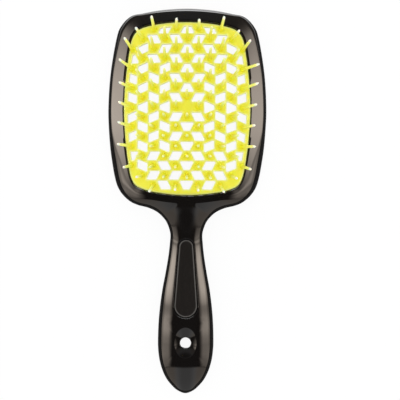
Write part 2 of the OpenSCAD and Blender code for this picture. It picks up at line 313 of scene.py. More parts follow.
outline_knots = (
    [(x * head_w / 2, wide_y + y * crown_l) for x, y in crown_shares]
    + [(mix(neck_w, head_w, x) / 2, wide_y - y * shoulder_l) for x, y in shoulder_shares]
    + [(mix(neck_w, grip_w, x) / 2, neck_y - y * swell_l) for x, y in swell_shares]
    + [(x * grip_w / 2, grip_y - y * tail_l) for x, y in tail_shares])


def window_knots(grow):
    """Half outline of the window, grown on every side."""
    half, up, down = window_w / 2 + grow, window_top_y - wide_y + grow, wide_y - window_end_y + grow
    return ([(x * half, wide_y + y * up) for x, y in window_up_shares]
            + [(x * half, wide_y - y * down) for x, y in window_down_shares])


last_row = len(outline_knots) - 1
window_row = len(window_up_shares) + len(window_down_shares) - 1
straight_row = len(crown_shares) + len(shoulder_shares)
print("rows of the outline:", last_row, "and of the window:", window_row)

# %% [markdown]
# ## Height of the shells
# Two shells meet on a parting surface that is arched across the head and level in the handle.
# Each row runs from the outline inwards. The face rises steeply from the outline, rounds over
# and then stays level on the head's rim, while in the handle one round section fills the row.
# With the height as a formula of a row and a distance, any grid of points can lie on it.

# %% Place the parting surface
arch_r, rim_rise, rim_edge, neck_rise, grip_rise = 88.0, 4.2, 2.6, 5.8, 8.8
blend_l, rest_cut, tail_round = 27.0, 0.2, 1.08
# the small round at the window, and where and how much the rim's outer round widens downwards
lip, shoulder_top, shoulder_run, shoulder_round = 0.6, 42.0, 30.0, 0.62


def arch_drop(x):
    """How far the arch across the head has fallen at x."""
    return arch_r - np.sqrt(arch_r ** 2 - np.asarray(x) ** 2)


def outer_edge(row):
    return plan_curve(outline_knots, row)


def inner_edge(row, grow=0.0):
    """Inner end of a row: on the window's edge, then down the middle line."""
    row = np.atleast_1d(np.asarray(row, float))
    window = plan_curve(window_knots(grow), np.minimum(row, window_row))
    share = 1 - (1 - (np.clip(row, window_row, straight_row) - window_row)
                 / (straight_row - window_row)) ** 2
    middle = np.column_stack([0 * row, mix(window_end_y - grow, outer_edge(row)[:, 1], share)])
    return np.where((row <= window_row)[:, None], window, middle)


rows = np.arange(0, window_row + 0.01, 0.5)
edge, core = outer_edge(rows), inner_edge(rows)
length = np.linalg.norm(core - edge, axis=1)
rounded = edge + (core - edge) * (rim_edge / np.maximum(length, rim_edge))[:, None]
crown_z = rim_rise + arch_drop(rounded[:, 0]).max() - rest_cut
grip_z = grip_rise - rest_cut


def neck_share(y):
    """From 0 on the head to 1 in the handle, even in the middle and soft at both ends."""
    t, soft = np.clip((window_end_y - np.asarray(y)) / blend_l, 0, 1), 0.2
    start, end = t ** 2 / (2 * soft), (1 - t) ** 2 / (2 * soft)
    share = np.where(t < soft, start, np.where(t > 1 - soft, 1 - soft - end, t - soft / 2))
    return share / (1 - soft)


def parting(x, y):
    """Height of the surface where the two shells meet."""
    return mix(crown_z - arch_drop(x), grip_z, neck_share(y))


def over_parting(plan, rise):
    """Points of the plan, raised over the parting surface."""
    height = parting(plan[..., 0], plan[..., 1]) + rise
    return np.concatenate([plan, height[..., None]], axis=-1)


print("parting surface: crown at", round(float(crown_z), 2), "mm and handle at", round(grip_z, 2))

# %% Find the height of a face at any point
def row_shape(row):
    """How wide the round edge of a row is, and how high its face stands."""
    edge = outer_edge(row)
    span = np.linalg.norm(inner_edge(row) - edge, axis=1)
    lower = shoulder_round * ease((shoulder_top - edge[:, 1]) / shoulder_run)
    width = mix(rim_edge, span, 1 - (1 - neck_share(edge[:, 1])) * (1 - lower))
    swell = mix(neck_rise, grip_rise, ease((neck_y - edge[:, 1]) / swell_l))
    tail = grip_rise * (2 * np.maximum(edge[:, 0], 0) / grip_w) ** tail_round
    body = mix(rim_rise, swell, neck_share(edge[:, 1]))
    rise = np.where(edge[:, 1] > grip_y, body, tail)
    return span, np.maximum(width, 1e-6), rise


def round_edge(share):
    """Height of a quarter circle at a share of its width."""
    return np.sqrt(1 - (1 - np.clip(share, 0, 1)) ** 2)


def face_height(x, y):
    """Rise of the face over the parting surface at points of the plan."""
    x, y = np.abs(np.atleast_1d(x)).astype(float), np.atleast_1d(y).astype(float)
    low, high = np.full(x.shape, 0.0), np.full(x.shape, float(last_row))
    # halve the rows that may run through a point until they are one
    for _ in range(40):
        row = (low + high) / 2
        a, b = outer_edge(row), inner_edge(row)
        below = (b[:, 0] - a[:, 0]) * (y - a[:, 1]) - (b[:, 1] - a[:, 1]) * (x - a[:, 0]) > 0
        low, high = np.where(below, row, low), np.where(below, high, row)
    span, width, rise = row_shape(row)
    from_edge = np.linalg.norm(np.column_stack([x, y]) - outer_edge(row), axis=1)
    return rise * round_edge(from_edge / width)


print("face over the parting surface:", face_height([0, 0, 10], [-60, -90, -50]).round(2))

# %% [markdown]
# ## From points to closed pieces
# Every moulding here is a closed skin, so it can be exported and printed as it is. A helper
# takes points in millimetres and faces, joins the points that fall together on seams and
# poles, turns the faces outwards and tells how many edges are still open, which must be none.

# %% Turn points and faces into a piece
def solid(name, points, faces, values=None, sharp_angle=38):
    """A closed piece from points in mm and faces, with named values at its points."""
    mesh = bpy.data.meshes.new(name)
    mesh.from_pydata((np.asarray(points, float) * MM).tolist(), [], faces)
    for title, numbers in (values or {}).items():
        layer = mesh.attributes.new(title, "FLOAT", "POINT")
        layer.data.foreach_set("value", np.asarray(numbers, np.float32))
    work = bmesh.new()
    work.from_mesh(mesh)
    bmesh.ops.remove_doubles(work, verts=work.verts, dist=0.004 * MM)
    bmesh.ops.recalc_face_normals(work, faces=work.faces)
    open_edges = sum(len(e.link_faces) != 2 for e in work.edges)
    volume = work.calc_volume() / MM ** 3
    work.to_mesh(mesh)
    work.free()
    mesh.polygons.foreach_set("use_smooth", [True] * len(mesh.polygons))
    mesh.set_sharp_from_angle(angle=math.radians(sharp_angle))
    made = put_in_scene(name, mesh)
    print(name, len(mesh.polygons), "faces,", open_edges, "open edges,", round(volume), "mm3")
    return made


def ring_faces(first, count, rings):
    """Quads between rings of points that follow each other in a list."""
    return [(first + r * count + n, first + r * count + (n + 1) % count,
             first + (r + 1) * count + (n + 1) % count, first + (r + 1) * count + n)
            for r in range(rings - 1) for n in range(count)]


print("quads between two rings of three points:", ring_faces(0, 3, 2))

# %% [markdown]
# ## Hole, dish and seat
# The handle has a hole to hang it by, in a round-edged dish, and a seat for the soft inlay.
# The dish is a rounded cone. The hole widens towards the back, so that the camera, which sees
# it at an angle, still looks through a round opening. The seat follows the inlay's outline,
# two arcs joined by straight sides, and its floor lies under the inlay's face. Both are given
# as formulas here, so that the shell and the inlay can't disagree.

# %% Shape the dish
hang_y, hang_d = end_y + 29.2, 6.0
dish_l, dish_narrow, dish_depth, dish_bend = 18.0, 1.14, 2.5, 1.6
hole_mid, hole_back = 0.95, 1.95  # how much wider the hole is half way down and at the back


def dish_height(x, y):
    """Rise of the rounded cone that cuts the dish, over the parting surface."""
    share = np.hypot(dish_narrow * x, y - hang_y) / (dish_l / 2)
    return grip_rise - dish_depth * (1 - share ** dish_bend)


def soft_min(a, b, width):
    """The lower of two heights, with a soft change from one to the other."""
    share = np.clip(0.5 + 0.5 * (b - a) / width, 0, 1)
    return mix(b, a, share) - width * share * (1 - share)


print("hole at y", round(hang_y, 2), "and", hang_d + 2 * hole_back, "mm wide at the back")

# %% Shape the seat of the inlay
inlay_l, inlay_w, inlay_tip_w, inlay_gap = 43.4, 13.4, 8.6, 3.0
inlay_t, inlay_set, inlay_face_r, seat_gap = 1.4, 0.5, 24.0, 0.2
tip_y = neck_y - inlay_gap - inlay_tip_w / 2
low_y = neck_y - inlay_gap - inlay_l + inlay_w / 2
lean = math.asin((inlay_w - inlay_tip_w) / 2 / (tip_y - low_y))


def handle_top(y):
    """Height of the handle's face on its middle line."""
    return grip_z + mix(neck_rise, grip_rise, float(ease((neck_y - y) / swell_l)))


pitch = math.atan((handle_top(low_y) - handle_top(tip_y)) / (tip_y - low_y))


def inlay_face(x, y, lower=0.0):
    """Height of the inlay's leaning, round face, or of a face below it."""
    axis_z = handle_top(low_y) - inlay_set - inlay_face_r
    radius = inlay_face_r - lower
    drop = (y - low_y) * math.sin(pitch)
    return axis_z + (np.sqrt(radius ** 2 - x ** 2) - drop) / math.cos(pitch)


print("the inlay climbs", round(math.degrees(pitch), 1), "degrees towards the grip")

# %% Draw the inlay's outline
tip_steps, low_steps, side_steps = 60, 90, 258
half_turn = np.concatenate([np.linspace(math.pi / 2, lean + 1e-6, tip_steps),
                            np.linspace(lean, -math.pi / 2, low_steps)])
centre = np.where(half_turn > lean, tip_y, low_y)
radius = np.where(half_turn > lean, inlay_tip_w, inlay_w) / 2
heading = np.column_stack([np.cos(half_turn), np.sin(half_turn)])
right = np.column_stack([np.zeros_like(centre), centre, radius])
straight = np.linspace(0, 1, side_steps + 2)[1:-1, None]
side_line = mix(right[tip_steps - 1], right[tip_steps], straight)
right = np.vstack([right[:tip_steps], side_line, right[tip_steps:]])
heading = np.vstack([heading[:tip_steps], np.tile(heading[tip_steps], (side_steps, 1)),
                     heading[tip_steps:]])
inlay_spine = np.vstack([right, right[-2:0:-1]])
inlay_heading = np.vstack([heading, heading[-2:0:-1] * (-1, 1)])


def inlay_line(places, grow=0.0, share=1.0):
    """Points on the inlay's outline, grown, or shrunk towards its middle line by a share."""
    low = np.floor(places).astype(int)
    part = (places - low)[:, None]
    total = len(inlay_spine)
    spine = mix(inlay_spine[low % total], inlay_spine[(low + 1) % total], part)
    turn = mix(inlay_heading[low % total], inlay_heading[(low + 1) % total], part)
    return spine[:, :2] + turn * ((spine[:, 2] * share + grow)[:, None])


whole = inlay_line(np.arange(len(inlay_spine), dtype=float))
print("inlay outline from", whole.min(0).round(2), "to", whole.max(0).round(2))

# %% [markdown]
# ## The two shells
# Front and back of the body are swept alike: each row of the outline gives a closed section of
# the face, the edge at the window, the base on the parting surface and a fine groove where the
# two shells meet. Sections as a list of rows are easy to check, and any of them can be left
# out where something else joins the surface.

# %% Step round an edge
def quarter_round(radius, angles=(30, 60, 90)):
    """How far a round still is from the wall, and how far it has dropped, at each angle."""
    return [(radius * (1 - math.sin(math.radians(angle))),
             radius * (1 - math.cos(math.radians(angle)))) for angle in angles]


fine_angles = (22.5, 45, 67.5, 90)
print("a 1 mm round in steps:", [(round(a, 2), round(b, 2)) for a, b in quarter_round(1.0)])

# %% Sweep the rows of a shell
edge_steps, flat_steps, row_steps, reach_share = 12, 8, 6, 0.86
columns = edge_steps + 1 + flat_steps
flange_w, flange_t = 2.0, 1.6
# the groove between the shells: rise of its lip, its middle and the base; depth of both
seam_rise, seam_mid_rise, base_rise = 0.18, 0.08, 0.04
seam_mid_in, base_in = 0.05, 0.14
shell_rows = np.arange(last_row * row_steps + 1) / row_steps


def on_row(start, stop, shares):
    """Points between the two ends of each row."""
    return start[:, None, :] + (stop - start)[:, None, :] * shares[:, :, None]


def sweep(front):
    """Closed sections of half a shell: face, edge at the window, base and groove."""
    side = 1 if front else -1
    span, width, rise = row_shape(shell_rows)
    edge, face_end = outer_edge(shell_rows), inner_edge(shell_rows, lip)
    length = np.linalg.norm(face_end - edge, axis=1)
    small = np.minimum(1, rise)[:, None]
    # close points where the face rounds over, even ones from there to the window
    reach = np.minimum(width, reach_share * span)
    turn = 1 - np.cos(np.linspace(0, math.pi / 2, edge_steps + 1))
    onward = np.linspace(0, 1, flat_steps + 1)[1:]
    away = np.column_stack([reach[:, None] * turn,
                            reach[:, None] + (length - reach)[:, None] * onward])
    share = away / np.maximum(length, 1e-6)[:, None]
    plan = on_row(edge, face_end, share)
    height = np.maximum(rise[:, None] * round_edge(away / width[:, None]), seam_rise * small)
    face = over_parting(plan, side * height)
    # the edge at the window: a small round and, in the front, a step for the flange
    drops = [np.column_stack([inner_edge(shell_rows, out), face[:, -1, 2] - side * down])
             for out, down in quarter_round(lip)]
    for grow in (0.0, flange_w) if front else ():
        drops.append(over_parting(inner_edge(shell_rows, grow), flange_t + seat_gap))
    inward = (face_end - edge) / np.maximum(length, 1e-6)[:, None]
    short = np.minimum(1, length)[:, None]
    base_end = inner_edge(shell_rows, flange_w if front else 0.0)
    base = over_parting(on_row(edge + inward * base_in * short, base_end, share),
                        side * base_rise * small)
    seam = over_parting(edge + inward * seam_mid_in * short, side * seam_mid_rise * small[:, 0])
    sections = np.concatenate([face, np.stack(drops, 1), base[:, ::-1], seam[:, None]], axis=1)
    # the back is flat where the brush rests on it
    sections[..., 2] = np.maximum(sections[..., 2], 0)
    return sections


print("sections of a shell:", [sweep(front).shape[:2] for front in (True, False)])

# %% [markdown]
# ## Rings round the hole and the seat
# A boolean would leave ragged shading on gloss black, which shows every dent. So a block of
# rows is left out of the sections at each place. Rings run from the block's edge to the new
# edge, close together where the surface turns, and the shading stays clean.

# %% Find the blocks that are left out
clear = edge_steps // 2 - 1
seat_start_y, dish_start_y, dish_end_y = -17.2, -66.0, hang_y - 11.5
middle_y = inner_edge(shell_rows, lip)[:, 1]
seat_first, dish_first, dish_last = (
    int(np.argmax(middle_y < y)) for y in (seat_start_y, dish_start_y, dish_end_y))
hole_rows, seat_rows = (dish_first, dish_last), (seat_first, dish_first)


def block_loop(grid, block):
    """The edge of a block of rows, all round both halves."""
    k1, k2 = block
    last = columns - 1
    path = [(k1, c) for c in range(last, clear, -1)]
    path += [(k, clear) for k in range(k1, k2)]
    path += [(k2, c) for c in range(clear, last)]
    right = [grid[k, c] for k, c in path]
    left = [grid[k, c] * (-1, 1, 1) for k, c in [(k2, last)] + path[::-1][:-1]]
    return np.array(right + left)


print("rows left out for the seat", seat_rows, "and for the hole", hole_rows)

# %% Ring the dish and the hole
brim, brim_soft, hole_edge = 0.6, 0.12, 0.4
least_dish, most_dish = 3.2, 10.5
thirds = (0.35, 0.7, 1)


def dish_rings(top, bottom, front):
    """Rings from the face through the dish and the hole to the base."""
    side = 1 if front else -1
    hole_r = hang_d / 2 + (0 if front else hole_back)
    bearing = np.arctan2(top[:, 1] - hang_y, top[:, 0])
    spoke = np.column_stack([np.cos(bearing), np.sin(bearing)])
    # halve the way between two distances until the dish's edge is found on each spoke
    near, far = np.full(len(top), least_dish), np.full(len(top), most_dish)
    for _ in range(30):
        tried = (near + far) / 2
        spot = spoke * tried[:, None] + (0, hang_y)
        in_dish = dish_height(*spot.T) < face_height(*spot.T)
        near, far = np.where(in_dish, tried, near), np.where(in_dish, far, tried)
    block_at = np.hypot(top[:, 0], top[:, 1] - hang_y)
    stops = [mix(block_at, near + brim, s) for s in thirds]
    stops += [near + brim * s for s in (0.5, 0.2, 0, -0.2, -0.5, -1)]
    stops += [mix(near - brim, hole_r + hole_edge, s) for s in thirds]
    rings = [top]
    for stop in stops:
        plan = spoke * stop[:, None] + (0, hang_y)
        height = soft_min(face_height(*plan.T), dish_height(*plan.T), brim_soft)
        rings.append(over_parting(plan, side * height))
    brink = rings[-1][:, 2]
    for out, down in quarter_round(hole_edge, fine_angles):
        rings.append(np.column_stack([spoke * (hole_r + out) + (0, hang_y), brink - side * down]))
    plan = spoke * (hang_d / 2 + hole_mid) + (0, hang_y)
    rings.append(over_parting(plan, side * base_rise))
    return rings + [bottom]


print("the dish, 4 mm from its middle:", round(float(dish_height(4, hang_y)), 2))

# %% Ring the seat
seat_edge, apron, shoulder, spreads = 0.3, 1.1, 0.8, 25


def search_tree(points):
    """A tree that finds the nearest of some points of the plan."""
    tree = KDTree(len(points))
    for n, (x, y) in enumerate(points):
        tree.insert((x, y, 0), n)
    tree.balance()
    return tree


def seat_rings(top):
    """Rings from the face over the edge of the seat to its floor."""
    total, fine = len(inlay_spine), 0.05
    tree = search_tree(inlay_line(np.arange(0, total, fine)))
    places = np.array([tree.find((x, y, 0))[1] for x, y, _ in top]) * fine
    # the nearest places bunch up at the corners of the block, so they are spread out
    steps = (np.diff(places, append=places[0]) + total / 2) % total - total / 2
    track = places[0] + np.concatenate([[0], np.cumsum(steps)[:-1]])
    for _ in range(spreads):
        before = np.concatenate([[track[-1] - steps.sum()], track[:-1]])
        after = np.concatenate([track[1:], [track[0] + steps.sum()]])
        track = (before + 2 * track + after) / 4
    track %= total
    plans = [mix(top[:, :2], inlay_line(track, apron), s) for s in thirds]
    plans += [inlay_line(track, grow) for grow in (shoulder, seat_gap + seat_edge)]
    rings = [top] + [over_parting(plan, face_height(*plan.T)) for plan in plans]
    brink = rings[-1][:, 2]
    for out, down in quarter_round(seat_edge):
        rings.append(np.column_stack([inlay_line(track, seat_gap + out), brink - down]))
    for share, grow in ((1, seat_gap), (0.6, 0), (0.25, 0)):
        plan = inlay_line(track, grow, share)
        rings.append(np.column_stack([plan, inlay_face(*plan.T, inlay_t)]))
    return rings


print("floor of the seat in its middle:", inlay_face(0, (tip_y + low_y) / 2, inlay_t).round(2))

# %% Join the sections and the rings
def shell(name, front):
    """One of the two shells, from its sections and rings."""
    sections = sweep(front)
    around = sections.shape[1]
    base_first = around - 1 - columns
    face, base = sections[:, :columns], sections[:, base_first:-1][:, ::-1]
    blocks = [hole_rows, seat_rows] if front else [hole_rows]
    points, faces = [], []

    def left_out(k, c):
        """Whether a quad lies in a block, or on the edge of a window that has ended."""
        if c < columns - 1:
            return c >= clear and any(a <= k < b for a, b in blocks)
        if c < base_first:
            return shell_rows[k] >= window_row
        opposite = columns - 2 - (c - base_first)
        return c < around - 1 and opposite >= clear and hole_rows[0] <= k < hole_rows[1]

    def lay(rings, close=False):
        first, count = len(points), len(rings[0])
        for ring in rings:
            points.extend(np.maximum(ring, (-np.inf, -np.inf, 0)).tolist())
        faces.extend(ring_faces(first, count, len(rings)))
        if close:
            faces.append(list(range(len(points) - count, len(points))))

    for hand in (1, -1):
        first = len(points)
        points += (sections.reshape(-1, 3) * (hand, 1, 1)).tolist()
        for k in range(len(shell_rows) - 1):
            for c in range(around):
                if left_out(k, c):
                    continue
                d = (c + 1) % around
                quad = [first + k * around + c, first + (k + 1) * around + c,
                        first + (k + 1) * around + d, first + k * around + d]
                faces.append(quad if hand > 0 else quad[::-1])
    lay(dish_rings(block_loop(face, hole_rows), block_loop(base, hole_rows), front))
    if front:
        lay(seat_rings(block_loop(face, seat_rows)), close=True)
    return solid(name, points, faces)


front_shell = shell("front_shell_gloss", True)
back_shell = shell("back_shell_gloss", False)

# %% [markdown]
# ## The vented pad in plan
# The yellow pad is one moulding: a plate with vents, and a pin on every closed cell. Its
# cells are a checkerboard, and one pair of sides of each vent leans in turn to the left and
# to the right, which gives the zigzag. The vents are drawn in plan with round corners, and
# those at the border are cut along it, as in the CAD.

# %% Bound the pad
cells_x, cells_y, corner_cells = 5, 8, 2
border_w, plate_t, plate_set = 2.4, 2.2, 0.9
pad_y = (window_top_y + window_end_y) / 2 + 1.0
face_raise = rim_rise - plate_set


def window_loop(grow):
    """Closed outline of the window, grown or shrunk, clockwise from the top."""
    half = plan_curve(window_knots(grow), np.arange(window_row * row_steps + 1) / row_steps)
    return np.vstack([half, half[-2:0:-1] * (-1, 1)])


def inside(points, loop):
    """Which points lie in a closed outline."""
    points, loop = np.asarray(points, float), np.asarray(loop, float)
    x, y = points[:, 0, None], points[:, 1, None]
    a, b = loop, np.roll(loop, -1, axis=0)
    crosses = (a[:, 1] > y) != (b[:, 1] > y)
    with np.errstate(divide="ignore", invalid="ignore"):
        at = a[:, 0] + (y - a[:, 1]) * (b[:, 0] - a[:, 0]) / (b[:, 1] - a[:, 1])
    return (crosses & (x < at)).sum(axis=1) % 2 == 1


def in_pad(i, j):
    """Whether a cell lies in the pad, whose corners are cut off."""
    return abs(i) + abs(j) <= cells_x + cells_y - corner_cells


border = window_loop(-border_w)
print("the vents end at", border.min(0).round(1), "and", border.max(0).round(1))

# %% Cut one vent
pitch_x, pitch_y, vent_land, vent_lean = 6.15, 5.38, 0.36, 1.12
smallest_vent, shortest_side, walk_steps = 2.5, 0.25, 400


def vent_corners(i, j):
    """Corners of a vent, one pair of whose sides leans."""
    # the corners of these cells are shifted across, those of the others along the brush
    across = (abs(i) <= 1 or (abs(i) == 2 and abs(j) >= 6)
              or (abs(i) in (3, 5) and abs(j) >= 5))
    corners = []
    for u, v in ((-1, -1), (1, -1), (1, 1), (-1, 1)):
        a, b = i + u / 2, j + v / 2
        side, far = (a, b) if across else (b, a)
        shift = math.copysign(vent_lean, side) * (1 if (abs(far) - 0.5) % 2 == 1 else -1)
        corners.append((a * pitch_x - u * vent_land + (shift if across else 0),
                        pad_y + b * pitch_y - v * vent_land + (0 if across else shift)))
    return np.array(corners)


def clipped(corners, border):
    """The part of a vent inside the border, anticlockwise."""
    kept = list(corners[inside(corners, border)]) + list(border[inside(border, corners)])
    # points where a side crosses the border
    for a, b in zip(corners, np.roll(corners, -1, axis=0)):
        walk = mix(a, b, np.linspace(0, 1, walk_steps)[:, None])
        within = inside(walk, border)
        kept += [walk[n] for n in range(walk_steps - 1) if within[n] != within[n + 1]]
    if len(kept) < 3:
        return None
    kept = np.array(kept)
    kept = kept[np.argsort(np.arctan2(*(kept - kept.mean(0)).T[::-1]))]
    kept = kept[np.linalg.norm(kept - np.roll(kept, 1, axis=0), axis=1) > shortest_side]
    area = 0.5 * np.cross(kept, np.roll(kept, -1, axis=0)).sum() if len(kept) > 2 else 0
    return kept if area > smallest_vent else None


print("corners of the vent up and right of the middle:", vent_corners(1, 1).round(2).tolist())

# %% Round the corners of a vent
least_turn, turn_step, side_share = 0.3, 0.4, 0.42


def rounded_loop(corners, radius):
    """Points of an outline with round corners, and their outward directions."""
    points, headings = [], []
    for a, b, c in zip(np.roll(corners, 1, axis=0), corners, np.roll(corners, -1, axis=0)):
        u, v = (a - b) / np.linalg.norm(a - b), (c - b) / np.linalg.norm(c - b)
        opening = math.acos(float(np.clip(u @ v, -1, 1)))
        turning = math.pi - opening
        bisector = -(u + v)
        if turning < least_turn:  # hardly a corner, so one point is enough
            normal = np.array([v[1] - u[1], u[0] - v[0]])
            points.append(b)
            headings.append(normal / np.linalg.norm(normal))
            continue
        tangent = min(radius / math.tan(opening / 2),
                      side_share * min(np.linalg.norm(a - b), np.linalg.norm(c - b)))
        size = tangent * math.tan(opening / 2)
        centre = b - bisector / np.linalg.norm(bisector) * size / math.sin(opening / 2)
        first, last = b + u * tangent - centre, b + v * tangent - centre
        steps = max(2, round(turning / turn_step))
        start = math.atan2(first[1], first[0])
        sweep = (math.atan2(last[1], last[0]) - start + math.pi) % (2 * math.pi) - math.pi
        for n in range(steps + 1):
            angle = start + sweep * n / steps
            heading = np.array([math.cos(angle), math.sin(angle)])
            points.append(centre + heading * size)
            headings.append(heading)
    return np.array(points), np.array(headings)


vent_corner_r = 0.6
print("points round that vent:", len(rounded_loop(vent_corners(1, 1), vent_corner_r)[0]))

# %% Draw every vent and mark every pin
vents, pin_places = [], []
for i in range(-cells_x, cells_x + 1):
    for j in range(-cells_y, cells_y + 1):
        if not in_pad(i, j):
            continue
        if (i + j) % 2:
            pin_places.append((i * pitch_x, j * pitch_y))
        elif (i, j) != (0, 0):  # the middle cell stays closed
            shape = clipped(vent_corners(i, j), border)
            if shape is not None:
                vents.append(rounded_loop(shape, vent_corner_r))
print(len(vents), "vents and", len(pin_places), "pins")

# %% [markdown]
# ## The plate
# The face of the pad is drawn flat, filled with even triangles and lifted on to the arch. Each
# vent gets a round edge and a wall, and the border a flange that the shells hold. On the
# closed cells the face is a little hollow round the pin. Attributes keep where the hollows,
# the roots of the pins and the thin edges are, so that painted shade can darken the hollows
# and the roots, and painted light can pale the thin edges.

# %% Fill the plan with triangles
mesh_step, row_share, widest_vent = 0.62, 0.87, 6
vent_round, border_round = 0.48, 0.3


def on_plate(points, loops):
    """Which points lie inside the first loop and in none of the others."""
    kept = inside(points, loops[0])
    for loop in loops[1:]:
        near = kept & (np.abs(points - loop.mean(0)).max(axis=1) < widest_vent)
        kept[near] &= ~inside(points[near], loop)
    return kept


def fill_plan(loops):
    """Triangles between loops, the number of each loop point, and distances from the loops."""
    flat, edges = [], []
    for loop in loops:
        first, count = len(flat), len(loop)
        flat += [tuple(p) for p in loop]
        edges += [(first + n, first + (n + 1) % count) for n in range(count)]
    rims = search_tree(flat)
    # an even grid of points, with every other row shifted by half a step
    low, high = loops[0].min(0), loops[0].max(0)
    grid = np.array([(x + (row % 2) * mesh_step / 2, y)
                     for row, y in enumerate(np.arange(low[1], high[1], mesh_step * row_share))
                     for x in np.arange(low[0], high[0], mesh_step)])
    flat += [tuple(p) for p in grid[on_plate(grid, loops)]
             if rims.find((p[0], p[1], 0))[2] > mesh_step / 2 - 0.01]
    made = delaunay_2d_cdt([Vector(p) for p in flat], edges, [], 0, 1e-5, True)
    spots, triangles = np.array([tuple(p) for p in made[0]]), np.array(made[2])
    # what lies in a vent or past the border is dropped again
    triangles = triangles[on_plate(spots[triangles].mean(axis=1), loops)]
    number = {old: n for n, olds in enumerate(made[3]) for old in olds}
    return spots, triangles, number, np.array([rims.find((x, y, 0))[2] for x, y in spots])


plate_loops = [window_loop(-seat_gap - border_round)]
plate_loops += [line + headings * vent_round for line, headings in vents]
spots, triangles, number, from_rim = fill_plan(plate_loops)
print(len(spots), "points and", len(triangles), "triangles")

# %% Lift the plate on to the arch
hollow_depth, hollow_r, hollow_soft, hollow_rim = 0.34, 3.6, 1.6, 1.15
# how far the rib colour, the painted shade round a pin's root and the painted light on a thin edge
# reach, and how pale that painted light makes the edge
rib_reach, root_shade_reach, edge_light_reach, edge_light_share = 1.1, 2.6, 0.4, 0.2


def arch_height(x, lift):
    """Height of the arch across the head, raised square to itself."""
    return crown_z - arch_r + np.sqrt((arch_r + lift) ** 2 - np.asarray(x) ** 2)


feet = np.array(pin_places) + (0, pad_y)
from_pin = np.min(np.linalg.norm(spots[:, None] - feet, axis=2), axis=1)
# the middle cell has a hollow as well, though no pin stands on it
from_cell = np.minimum(from_pin, np.linalg.norm(spots - (0, pad_y), axis=1))
hollow = ease(from_rim / hollow_rim) * ease((hollow_r - from_cell) / hollow_soft)
face_z = arch_height(spots[:, 0], face_raise) - hollow_depth * hollow
under_z = arch_height(spots[:, 0], face_raise - plate_t)
plate_points = [[x, y, z] for level in (face_z, under_z) for (x, y), z in zip(spots, level)]
plate_faces = triangles.tolist() + (triangles[:, ::-1] + len(spots)).tolist()
# the marks paint shade deep in the closed cells and round the pins' roots, and light on the thin
# edges
marks = {"pocket": list(ease(from_rim / rib_reach)) * 2,
         "root": list(np.clip(1 - from_pin / root_shade_reach, 0, 1)) * 2,
         "thin": list(np.clip(1 - from_rim / edge_light_reach, 0, 1) * edge_light_share) * 2}
print("the face rises to", round(float(face_z.max()), 2), "mm")

# %% Close the sides of the plate
# how much painted light pales the vents' walls, which stand in shade
vent_edge_light, under_rise = 0.8, 0.02
# the lower end of a vent's wall: how far it has drawn back, and how high it still is
vent_foot = ((0.0, 0.4), (0.12, 0.1))


def wall(first, rings, thin):
    """Quads from the face to the underside along a loop, over rings of (plan, lift)."""
    start, count = len(plate_points), len(rings[0][0])
    for plan, lift in rings:
        plate_points.extend(np.column_stack([plan, arch_height(plan[:, 0], lift)]).tolist())
    # walls get no painted shade, and painted light as given
    for title, value in (("pocket", 0.0), ("root", 0.0), ("thin", thin)):
        marks[title] += [value] * count * len(rings)
    top = [number[first + n] for n in range(count)]
    chain = [top, *([start + r * count + n for n in range(count)] for r in range(len(rings))),
             [n + len(spots) for n in top]]
    for a, b in zip(chain, chain[1:]):
        plate_faces.extend([a[n], a[(n + 1) % count], b[(n + 1) % count], b[n]]
                           for n in range(count))


rings = [(window_loop(-seat_gap - out), face_raise - down)
         for out, down in quarter_round(border_round)]
rings += [(window_loop(grow - seat_gap), lift) for grow, lift in (
    (0, flange_t), (flange_w, flange_t), (flange_w, under_rise), (-border_round, under_rise))]
wall(0, rings, edge_light_share)
first = len(plate_loops[0])
for line, headings in vents:
    rings = [(line + headings * out, face_raise - down)
             for out, down in quarter_round(vent_round, fine_angles)]
    rings += [(line + headings * out, face_raise - plate_t + lift)
              for out, lift in vent_foot]
    wall(first, rings, vent_edge_light)
    first += len(line)
plate = solid("vented_plate", plate_points, plate_faces, marks, 50)

# %% [markdown]
# ## Pins
# Ninety pins stand on the closed cells. They are nearly square to the arch across the head and
# fan out along it, and the outer ones are bent as in the photograph. One pin is made from a
# line whose radius follows a profile: a small flare where it leaves the plate, a slight taper
# and a round tip. Geometry Nodes set it on every root, turned to the direction stored there.

# %% Aim the pins
pin_l, pin_fan_r, pin_root_d, pin_tip_d = 18.0, 320.0, 1.8, 1.4
root_sink, loose_by = 0.45, 0.3
# every tip leans a little to the right and towards the head, more so in the upper rows
lean_right, lean_up, lean_more = 0.4, 0.3, 1.3
# how far each column's tips stand back from square, and how the outer tips are bent, in mm
stand_back = (0.0, 1.2, 2.1, 2.3, 2.0, 0.0)
bent = {
    (-5, -6): (2.9, 0.2), (-5, -4): (-0.7, 1.4), (-5, -2): (-0.4, 1.9), (-5, 0): (-0.1, 1.3),
    (-5, 2): (0.2, 0.6), (-5, 4): (0.0, 1.7), (-5, 6): (3.0, 1.7), (-4, -7): (2.7, 0.6),
    (-4, 7): (1.8, 1.2), (-3, -8): (2.3, -1.6), (-3, 8): (3.0, 1.4), (-1, -8): (1.6, -0.7),
    (-1, 8): (1.8, -0.2), (1, -8): (-0.8, -1.0), (1, 8): (-0.8, -0.7), (3, -8): (-1.6, -1.7),
    (3, 8): (-2.2, 1.3), (4, -7): (-2.1, 0.2), (4, 7): (-1.3, 0.0), (5, -6): (-1.9, -0.5),
    (5, -4): (0.7, 0.5), (5, -2): (0.3, 0.6), (5, 0): (1.5, 0.6), (5, 2): (2.4, 0.7),
    (5, 4): (3.0, -0.4), (5, 6): (-2.6, 0.9)}
wobble = np.random.default_rng(7)


